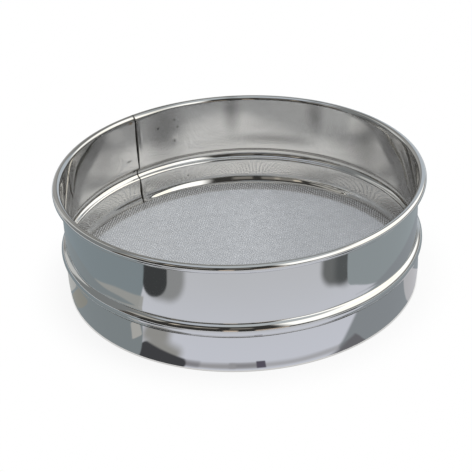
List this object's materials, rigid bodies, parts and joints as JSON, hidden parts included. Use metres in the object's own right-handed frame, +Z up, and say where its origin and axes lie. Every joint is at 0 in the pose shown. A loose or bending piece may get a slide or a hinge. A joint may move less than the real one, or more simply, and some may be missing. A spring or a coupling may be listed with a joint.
{
  "type": "drum sieve",
  "caption": "Round drum sieve of polished sheet steel with a curled rim, a pressed bead and a wire cloth clamped under an outer hoop.",
  "frame": {"origin": "centre of the foot ring, on the surface that the sieve stands on", "axes": "+Z up through the open mouth, along the drum's axis; -Y towards the viewer of the picture, with the lap seam at the back left, 128.5 degrees from +X"},
  "size_m": [0.25, 0.25, 0.078],
  "materials": {
    "polished_sheet": "mirror polished stainless sheet",
    "plain_wire": "plain drawn steel wire",
    "woven_wire": "bright woven stainless wire"
  },
  "bodies": {
    "root": {"drum_wall": "polished_sheet", "rim_wire": "plain_wire", "wire_cloth": "woven_wire", "wire_cloth_edge": "woven_wire", "outer_hoop": "polished_sheet"}
  },
  "joints": []
}
